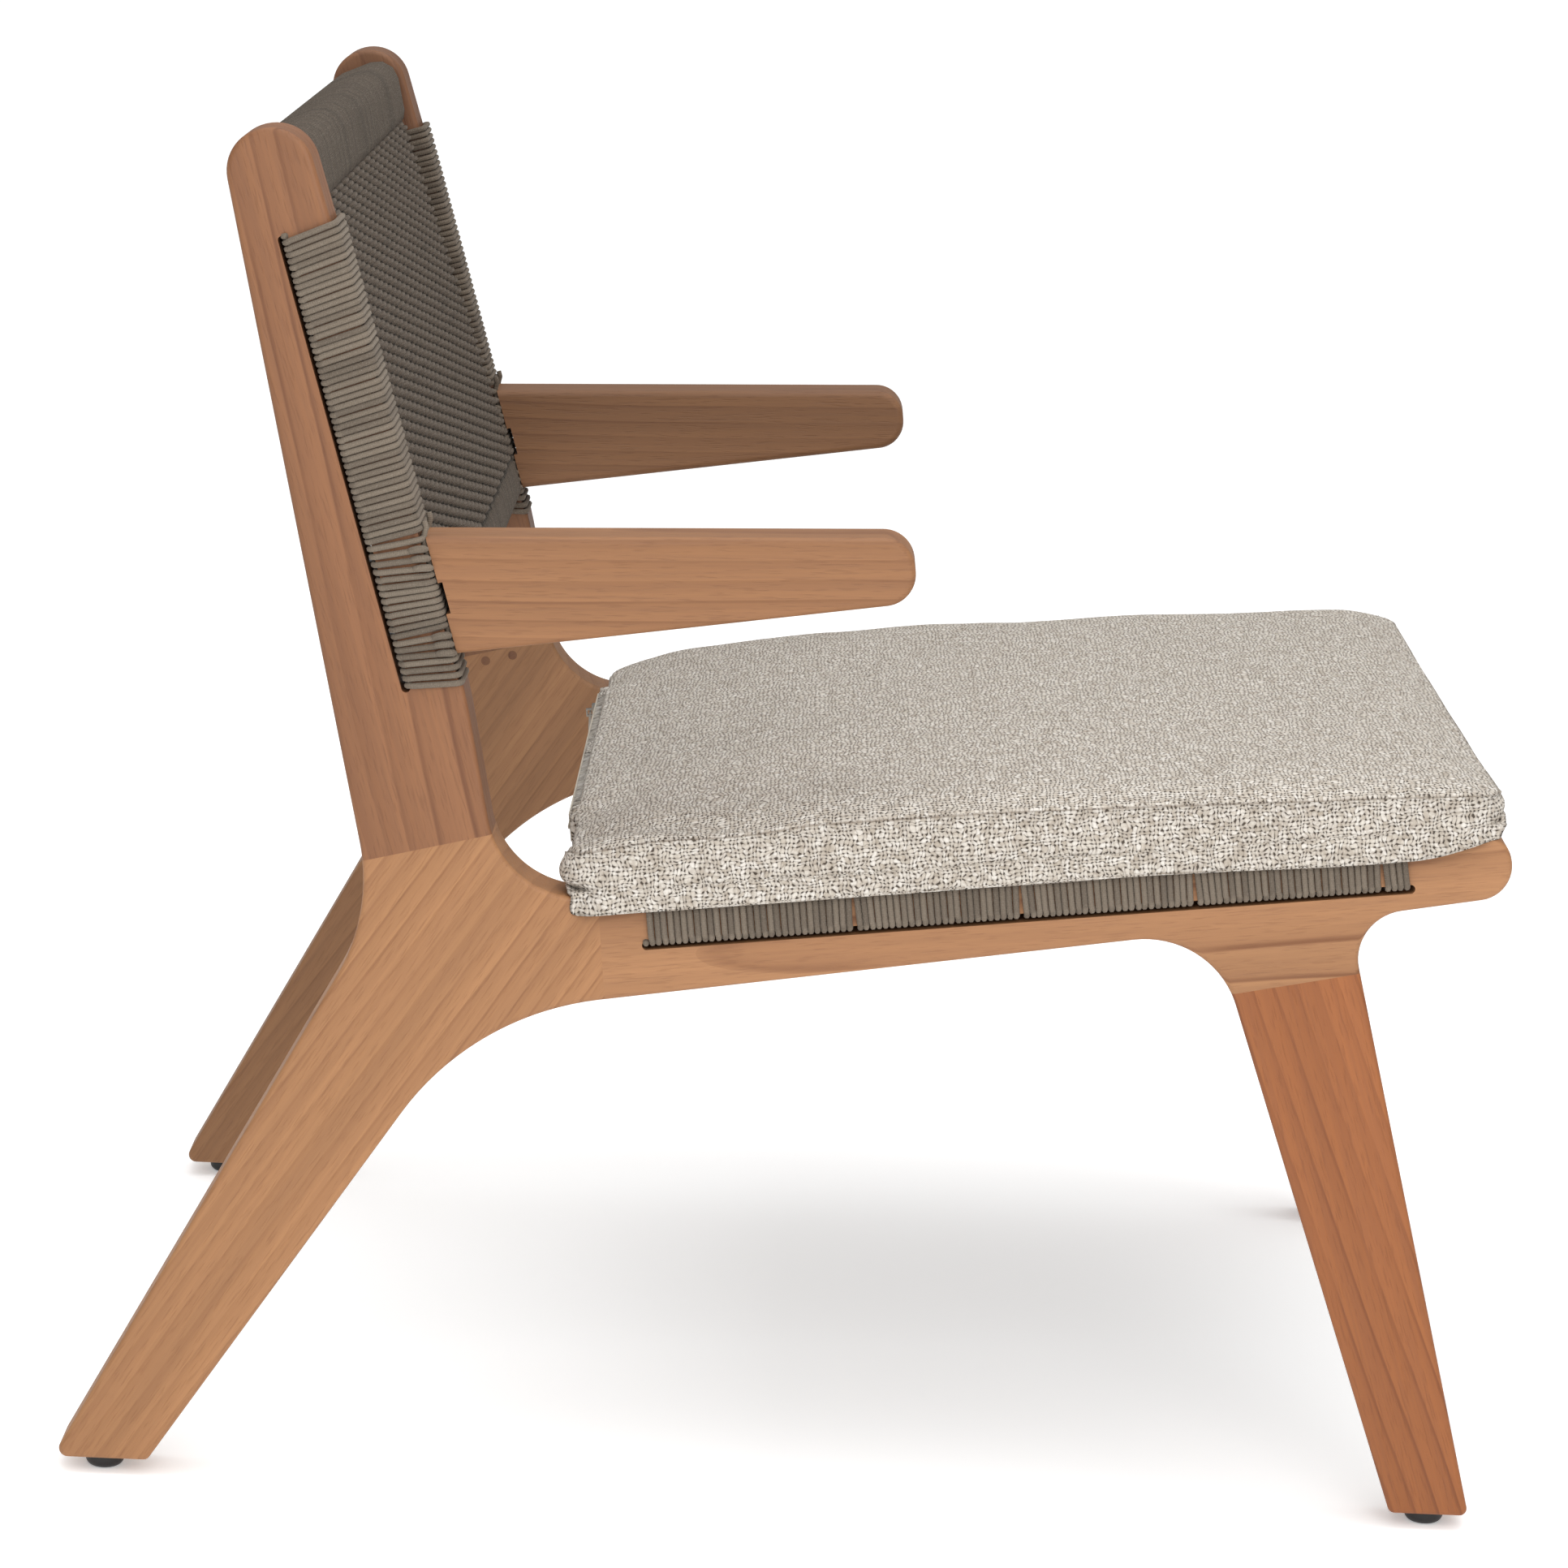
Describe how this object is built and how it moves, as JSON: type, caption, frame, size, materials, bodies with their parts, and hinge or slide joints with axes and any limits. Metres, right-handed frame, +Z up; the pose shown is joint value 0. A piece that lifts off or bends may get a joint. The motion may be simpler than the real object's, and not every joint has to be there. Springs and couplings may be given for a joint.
{
  "type": "wooden lounge armchair",
  "caption": "Low teak lounge armchair with flat shaped side frames, a woven rope back and seat, two armrests and a loose boxed seat cushion.",
  "frame": {"origin": "on the floor at the centre of the chair's bounding box", "axes": "+Z up, the chair faces -Y, +X to the sitter's left; symmetric about X = 0 apart from the loose cushion"},
  "size_m": [0.6568, 0.7937, 0.7595],
  "materials": {
    "teak": "oiled, satin",
    "rope": "braided polyolefin rope, matte",
    "cushion_fabric": "heather basket weave",
    "foam": "open-cell foam",
    "zip_tape": "woven tape",
    "zip_plastic": "moulded coil",
    "zip_metal": "satin",
    "steel": "stainless, satin",
    "glide_plastic": "black nylon"
  },
  "bodies": {
    "frame": {"right_back_post": "teak", "left_back_post": "teak", "right_rear_leg": "teak", "left_rear_leg": "teak", "right_seat_rail": "teak", "left_seat_rail": "teak", "right_front_leg": "teak", "left_front_leg": "teak", "right_armrest": "teak", "left_armrest": "teak", "back_top_rail": "teak", "back_bottom_rail": "teak", "seat_front_rail": "teak", "seat_rear_rail": "teak", "post_tenons": "teak", "rail_tenons": "teak", "leg_tenons": "teak", "lock_pins": "teak", "arm_bolt_plugs": "teak", "arm_bolts": "steel", "arm_bolt_washers": "steel", "arm_inserts": "steel", "glide_nails": "steel", "right_post_rope": "rope", "left_post_rope": "rope", "right_seat_rope": "rope", "left_seat_rope": "rope", "back_top_rope": "rope", "back_bottom_rope": "rope", "seat_front_rope": "rope", "seat_rear_rope": "rope", "back_weave": "rope", "seat_weave": "rope", "foot_glides": "glide_plastic"},
    "cushion": {"cushion_cover": "cushion_fabric", "cushion_core": "foam", "zip_tape": "zip_tape", "zip_teeth": "zip_plastic"},
    "slider": {"zip_slider": "zip_metal"},
    "pull": {"zip_pull": "zip_metal"}
  },
  "joints": [
    {"name": "cushion_slide", "type": "slide", "parent": "frame", "child": "cushion", "axis": [0, -0.9929, 0.1186], "range_m": [0, 0.2]},
    {"name": "zip_slide", "type": "slide", "parent": "cushion", "child": "slider", "axis": [-1, 0, 0], "range_m": [0, 0.33]},
    {"name": "pull_swing", "type": "hinge", "parent": "slider", "child": "pull", "pos_m": [0.1335, 0.12977, 0.35965], "axis": [1, 0, 0], "range_deg": [0, 110]}
  ]
}
